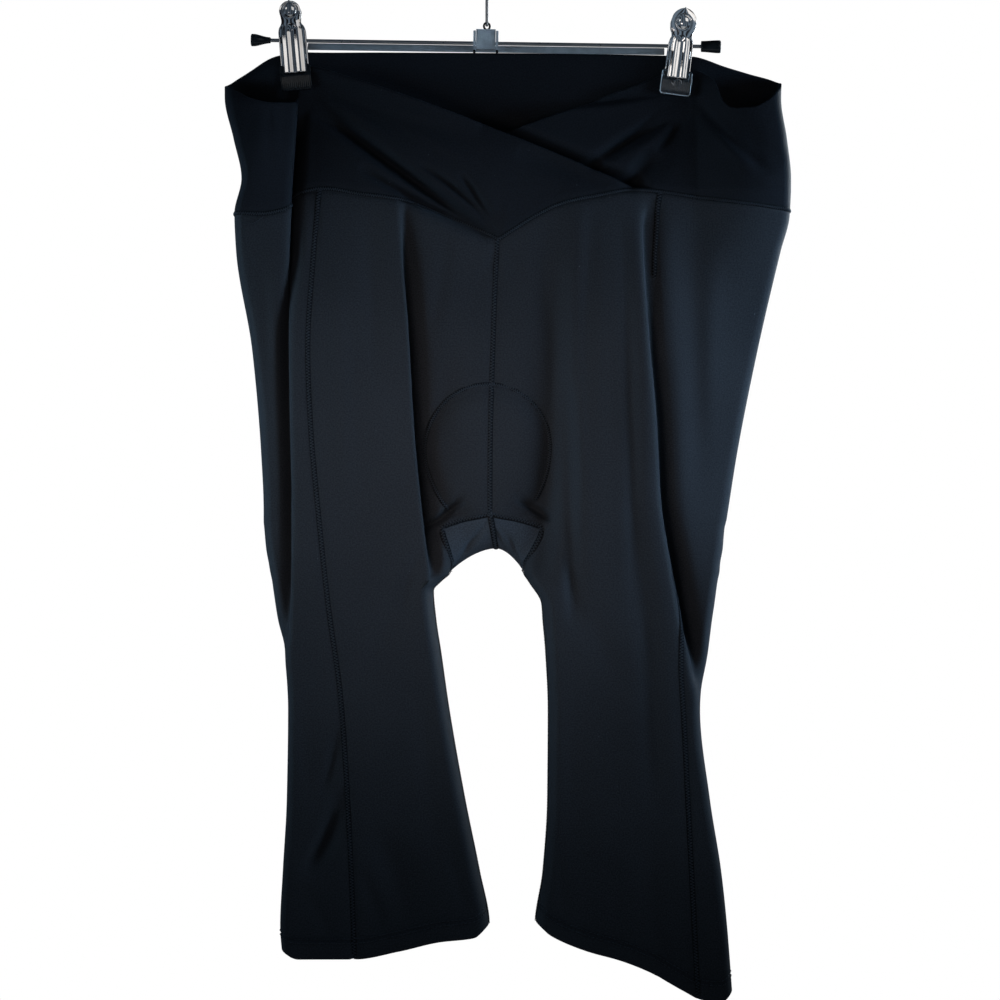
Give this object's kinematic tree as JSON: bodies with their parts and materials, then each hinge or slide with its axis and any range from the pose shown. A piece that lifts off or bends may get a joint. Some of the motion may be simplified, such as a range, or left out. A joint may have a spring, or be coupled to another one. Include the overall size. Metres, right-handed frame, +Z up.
{
  "type": "cropped leggings on clip hanger",
  "caption": "Cropped stretch leggings with a wide crossover waistband, shaped front and side panels and a crotch gusset, hung from a trouser hanger by spring clips.",
  "frame": {"origin": "inside top of the hanger's hook, where it rests on a rail", "axes": "+Z up, +X to the viewer's right when the front is seen, +Y from the front to the back of the garment"},
  "size_m": [0.4304, 0.0505, 0.8039],
  "materials": {
    "knit": "matte brushed stretch knit, near black",
    "band_knit": "matte brushed stretch knit, near black, doubled",
    "chrome": "polished",
    "steel": "bright wire",
    "clear_plastic": "clear, slightly grey",
    "black_rubber": "satin black"
  },
  "bodies": {
    "root": {"front_left": "knit", "front_right": "knit", "side_back_left": "knit", "side_back_right": "knit", "gusset": "knit", "band_over": "band_knit", "band_under": "band_knit", "band_back": "band_knit", "rod": "steel", "bar": "clear_plastic", "centre_block": "clear_plastic", "cheek_left": "clear_plastic", "cheek_right": "clear_plastic", "end_cap_left": "black_rubber", "end_cap_right": "black_rubber", "clip_left_jaw_front": "chrome", "clip_left_jaw_back": "chrome", "clip_left_pad_front": "black_rubber", "clip_left_pad_back": "black_rubber", "clip_left_spring": "steel", "clip_right_jaw_front": "chrome", "clip_right_jaw_back": "chrome", "clip_right_pad_front": "black_rubber", "clip_right_pad_back": "black_rubber", "clip_right_spring": "steel", "hook": "steel"}
  },
  "joints": []
}
